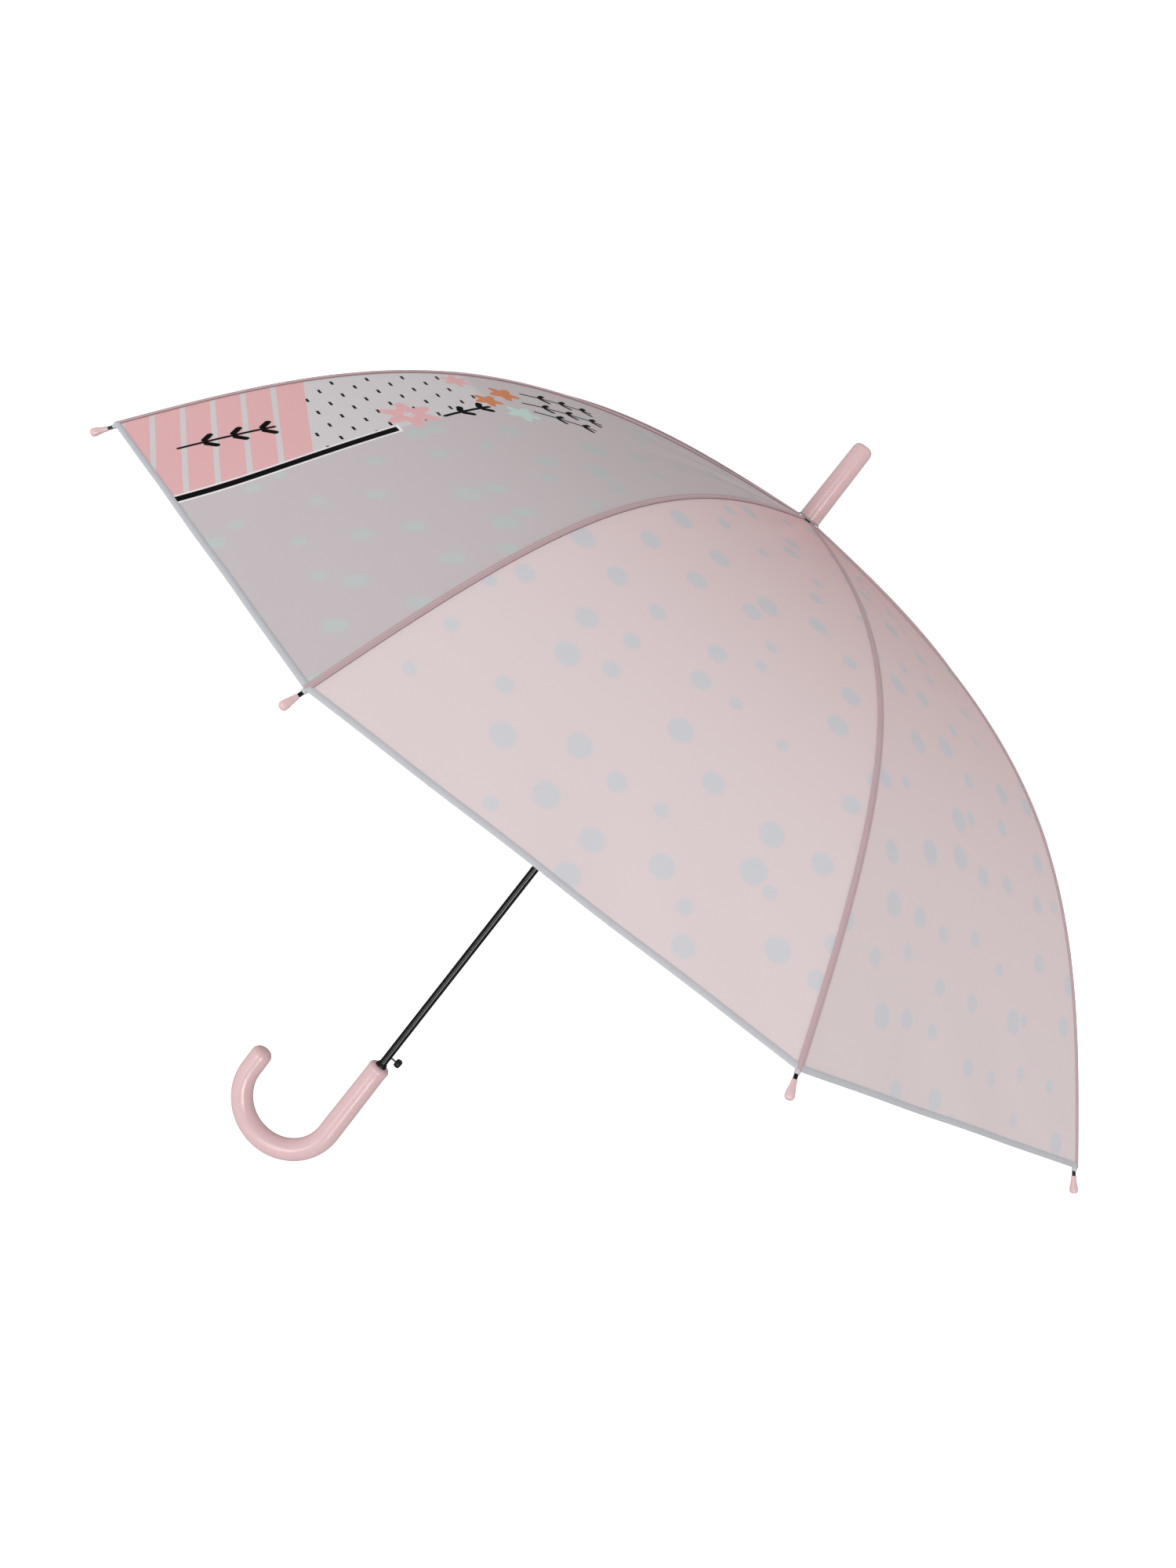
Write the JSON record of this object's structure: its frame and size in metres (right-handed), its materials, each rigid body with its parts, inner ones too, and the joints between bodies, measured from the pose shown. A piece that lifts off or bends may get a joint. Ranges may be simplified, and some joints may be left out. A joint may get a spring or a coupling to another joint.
{
  "type": "children's stick umbrella",
  "caption": "Open children's stick umbrella: domed film canopy on flexing ribs and stretchers, sliding runner, hooked handle with a release button.",
  "frame": {"origin": "on the shaft's axis, in the middle of the straight part of the handle, where a hand holds it", "axes": "+Z along the shaft towards the ferrule, which is also the shortest extent; the handle's hook points to -X and the release button is on +X"},
  "size_m": [0.804, 0.804, 0.6798],
  "materials": {
    "film_pink": "satin",
    "film_lilac": "satin",
    "pink_gloss": "gloss",
    "black_plastic": "satin",
    "black_paint": "gloss",
    "fibreglass_black": "satin",
    "steel_wire": "satin",
    "chrome": "polished",
    "grey_washer": "satin"
  },
  "bodies": {
    "shaft": {"shaft_tube": "black_paint", "handle": "pink_gloss", "handle_bush": "black_plastic", "ferrule": "pink_gloss", "crown_washer": "grey_washer", "crown_notch": "black_plastic", "notch_wire": "steel_wire", "opening_spring": "steel_wire"},
    "button": {"push_button": "black_plastic"},
    "runner": {"runner": "black_plastic", "runner_wire": "steel_wire", "spring_carrier": "chrome"},
    "rib_1_body": {"rib_1": "black_paint", "canopy_upper_1": "film_lilac"},
    "rib_end_1_body": {"rib_end_1": "fibreglass_black", "tip_1": "pink_gloss", "canopy_lower_1": "film_lilac"},
    "stretcher_1_body": {"stretcher_1": "black_paint"},
    "rib_2_body": {"rib_2": "black_paint", "canopy_upper_2": "film_pink"},
    "rib_end_2_body": {"rib_end_2": "fibreglass_black", "tip_2": "pink_gloss", "canopy_lower_2": "film_pink"},
    "stretcher_2_body": {"stretcher_2": "black_paint"},
    "rib_3_body": {"rib_3": "black_paint", "canopy_upper_3": "film_pink"},
    "rib_end_3_body": {"rib_end_3": "fibreglass_black", "tip_3": "pink_gloss", "canopy_lower_3": "film_pink"},
    "stretcher_3_body": {"stretcher_3": "black_paint"},
    "rib_4_body": {"rib_4": "black_paint", "canopy_upper_4": "film_pink"},
    "rib_end_4_body": {"rib_end_4": "fibreglass_black", "tip_4": "pink_gloss", "canopy_lower_4": "film_pink"},
    "stretcher_4_body": {"stretcher_4": "black_paint"},
    "rib_5_body": {"rib_5": "black_paint", "canopy_upper_5": "film_pink"},
    "rib_end_5_body": {"rib_end_5": "fibreglass_black", "tip_5": "pink_gloss", "canopy_lower_5": "film_pink"},
    "stretcher_5_body": {"stretcher_5": "black_paint"},
    "rib_6_body": {"rib_6": "black_paint", "canopy_upper_6": "film_pink"},
    "rib_end_6_body": {"rib_end_6": "fibreglass_black", "tip_6": "pink_gloss", "canopy_lower_6": "film_pink"},
    "stretcher_6_body": {"stretcher_6": "black_paint"},
    "rib_7_body": {"rib_7": "black_paint", "canopy_upper_7": "film_pink"},
    "rib_end_7_body": {"rib_end_7": "fibreglass_black", "tip_7": "pink_gloss", "canopy_lower_7": "film_pink"},
    "stretcher_7_body": {"stretcher_7": "black_paint"},
    "rib_8_body": {"rib_8": "black_paint", "canopy_upper_8": "film_pink"},
    "rib_end_8_body": {"rib_end_8": "fibreglass_black", "tip_8": "pink_gloss", "canopy_lower_8": "film_pink"},
    "stretcher_8_body": {"stretcher_8": "black_paint"}
  },
  "joints": [
    {"name": "fold", "type": "hinge", "parent": "shaft", "child": "rib_1_body", "pos_m": [-0.00788, -0.00434, 0.53289], "axis": [0.4827, -0.8758, 0], "range_deg": [0, 76], "stiffness_Nm_per_rad": 0.15, "springref_deg": -114.59, "deforming": ["canopy_upper_1"]},
    {"name": "flex_1", "type": "hinge", "parent": "rib_1_body", "child": "rib_end_1_body", "pos_m": [-0.20444, -0.11267, 0.48864], "axis": [0.4827, -0.8758, 0], "range_deg": [-28.12, 0], "deforming": ["canopy_lower_1"]},
    {"name": "strut_1", "type": "hinge", "parent": "rib_1_body", "child": "stretcher_1_body", "pos_m": [-0.18954, -0.10446, 0.48796], "axis": [0.4827, -0.8758, 0], "range_deg": [-152, 0]},
    {"name": "fold_2", "type": "hinge", "parent": "shaft", "child": "rib_2_body", "pos_m": [-0.0025, -0.00864, 0.53289], "axis": [0.9606, -0.278, 0], "range_deg": [0, 76], "stiffness_Nm_per_rad": 0.15, "springref_deg": -114.59, "deforming": ["canopy_upper_2"]},
    {"name": "flex_2", "type": "hinge", "parent": "rib_2_body", "child": "rib_end_2_body", "pos_m": [-0.06489, -0.22423, 0.48864], "axis": [0.9606, -0.278, 0], "range_deg": [-28.12, 0], "deforming": ["canopy_lower_2"]},
    {"name": "strut_2", "type": "hinge", "parent": "rib_2_body", "child": "stretcher_2_body", "pos_m": [-0.06016, -0.20789, 0.48796], "axis": [0.9606, -0.278, 0], "range_deg": [-152, 0]},
    {"name": "fold_3", "type": "hinge", "parent": "shaft", "child": "rib_3_body", "pos_m": [0.00434, -0.00788, 0.53289], "axis": [0.8758, 0.4827, 0], "range_deg": [0, 76], "stiffness_Nm_per_rad": 0.15, "springref_deg": -114.59, "deforming": ["canopy_upper_3"]},
    {"name": "flex_3", "type": "hinge", "parent": "rib_3_body", "child": "rib_end_3_body", "pos_m": [0.11267, -0.20444, 0.48864], "axis": [0.8758, 0.4827, 0], "range_deg": [-28.12, 0], "deforming": ["canopy_lower_3"]},
    {"name": "strut_3", "type": "hinge", "parent": "rib_3_body", "child": "stretcher_3_body", "pos_m": [0.10446, -0.18954, 0.48796], "axis": [0.8758, 0.4827, 0], "range_deg": [-152, 0]},
    {"name": "fold_4", "type": "hinge", "parent": "shaft", "child": "rib_4_body", "pos_m": [0.00864, -0.0025, 0.53289], "axis": [0.278, 0.9606, 0], "range_deg": [0, 76], "stiffness_Nm_per_rad": 0.15, "springref_deg": -114.59, "deforming": ["canopy_upper_4"]},
    {"name": "flex_4", "type": "hinge", "parent": "rib_4_body", "child": "rib_end_4_body", "pos_m": [0.22423, -0.06489, 0.48864], "axis": [0.278, 0.9606, 0], "range_deg": [-28.12, 0], "deforming": ["canopy_lower_4"]},
    {"name": "strut_4", "type": "hinge", "parent": "rib_4_body", "child": "stretcher_4_body", "pos_m": [0.20789, -0.06016, 0.48796], "axis": [0.278, 0.9606, 0], "range_deg": [-152, 0]},
    {"name": "fold_5", "type": "hinge", "parent": "shaft", "child": "rib_5_body", "pos_m": [0.00788, 0.00434, 0.53289], "axis": [-0.4827, 0.8758, 0], "range_deg": [0, 76], "stiffness_Nm_per_rad": 0.15, "springref_deg": -114.59, "deforming": ["canopy_upper_5"]},
    {"name": "flex_5", "type": "hinge", "parent": "rib_5_body", "child": "rib_end_5_body", "pos_m": [0.20444, 0.11267, 0.48864], "axis": [-0.4827, 0.8758, 0], "range_deg": [-28.12, 0], "deforming": ["canopy_lower_5"]},
    {"name": "strut_5", "type": "hinge", "parent": "rib_5_body", "child": "stretcher_5_body", "pos_m": [0.18954, 0.10446, 0.48796], "axis": [-0.4827, 0.8758, 0], "range_deg": [-152, 0]},
    {"name": "fold_6", "type": "hinge", "parent": "shaft", "child": "rib_6_body", "pos_m": [0.0025, 0.00864, 0.53289], "axis": [-0.9606, 0.278, 0], "range_deg": [0, 76], "stiffness_Nm_per_rad": 0.15, "springref_deg": -114.59, "deforming": ["canopy_upper_6"]},
    {"name": "flex_6", "type": "hinge", "parent": "rib_6_body", "child": "rib_end_6_body", "pos_m": [0.06489, 0.22423, 0.48864], "axis": [-0.9606, 0.278, 0], "range_deg": [-28.12, 0], "deforming": ["canopy_lower_6"]},
    {"name": "strut_6", "type": "hinge", "parent": "rib_6_body", "child": "stretcher_6_body", "pos_m": [0.06016, 0.20789, 0.48796], "axis": [-0.9606, 0.278, 0], "range_deg": [-152, 0]},
    {"name": "fold_7", "type": "hinge", "parent": "shaft", "child": "rib_7_body", "pos_m": [-0.00434, 0.00788, 0.53289], "axis": [-0.8758, -0.4827, 0], "range_deg": [0, 76], "stiffness_Nm_per_rad": 0.15, "springref_deg": -114.59, "deforming": ["canopy_upper_7"]},
    {"name": "flex_7", "type": "hinge", "parent": "rib_7_body", "child": "rib_end_7_body", "pos_m": [-0.11267, 0.20444, 0.48864], "axis": [-0.8758, -0.4827, 0], "range_deg": [-28.12, 0], "deforming": ["canopy_lower_7"]},
    {"name": "strut_7", "type": "hinge", "parent": "rib_7_body", "child": "stretcher_7_body", "pos_m": [-0.10446, 0.18954, 0.48796], "axis": [-0.8758, -0.4827, 0], "range_deg": [-152, 0]},
    {"name": "fold_8", "type": "hinge", "parent": "shaft", "child": "rib_8_body", "pos_m": [-0.00864, 0.0025, 0.53289], "axis": [-0.278, -0.9606, 0], "range_deg": [0, 76], "stiffness_Nm_per_rad": 0.15, "springref_deg": -114.59, "deforming": ["canopy_upper_8"]},
    {"name": "flex_8", "type": "hinge", "parent": "rib_8_body", "child": "rib_end_8_body", "pos_m": [-0.22423, 0.06489, 0.48864], "axis": [-0.278, -0.9606, 0], "range_deg": [-28.12, 0], "deforming": ["canopy_lower_8"]},
    {"name": "strut_8", "type": "hinge", "parent": "rib_8_body", "child": "stretcher_8_body", "pos_m": [-0.20789, 0.06016, 0.48796], "axis": [-0.278, -0.9606, 0], "range_deg": [-152, 0]},
    {"name": "runner_link", "type": "hinge", "parent": "stretcher_1_body", "child": "runner", "pos_m": [-0.00788, -0.00434, 0.44304], "axis": [0.4827, -0.8758, 0], "range_deg": [0, 76], "deforming": ["opening_spring"]},
    {"name": "button_press", "type": "slide", "parent": "shaft", "child": "button", "axis": [-1, 0, 0], "range_m": [0, 0.0022], "stiffness_N_per_m": 800}
  ],
  "couplings": [
    {"joint": "flex_1", "follows": "fold", "ratio": -0.37},
    {"joint": "strut_1", "follows": "fold", "ratio": -2},
    {"joint": "fold_2", "follows": "fold", "ratio": 1},
    {"joint": "flex_2", "follows": "fold", "ratio": -0.37},
    {"joint": "strut_2", "follows": "fold", "ratio": -2},
    {"joint": "fold_3", "follows": "fold", "ratio": 1},
    {"joint": "flex_3", "follows": "fold", "ratio": -0.37},
    {"joint": "strut_3", "follows": "fold", "ratio": -2},
    {"joint": "fold_4", "follows": "fold", "ratio": 1},
    {"joint": "flex_4", "follows": "fold", "ratio": -0.37},
    {"joint": "strut_4", "follows": "fold", "ratio": -2},
    {"joint": "fold_5", "follows": "fold", "ratio": 1},
    {"joint": "flex_5", "follows": "fold", "ratio": -0.37},
    {"joint": "strut_5", "follows": "fold", "ratio": -2},
    {"joint": "fold_6", "follows": "fold", "ratio": 1},
    {"joint": "flex_6", "follows": "fold", "ratio": -0.37},
    {"joint": "strut_6", "follows": "fold", "ratio": -2},
    {"joint": "fold_7", "follows": "fold", "ratio": 1},
    {"joint": "flex_7", "follows": "fold", "ratio": -0.37},
    {"joint": "strut_7", "follows": "fold", "ratio": -2},
    {"joint": "fold_8", "follows": "fold", "ratio": 1},
    {"joint": "flex_8", "follows": "fold", "ratio": -0.37},
    {"joint": "strut_8", "follows": "fold", "ratio": -2},
    {"joint": "runner_link", "follows": "fold", "ratio": 1}
  ]
}
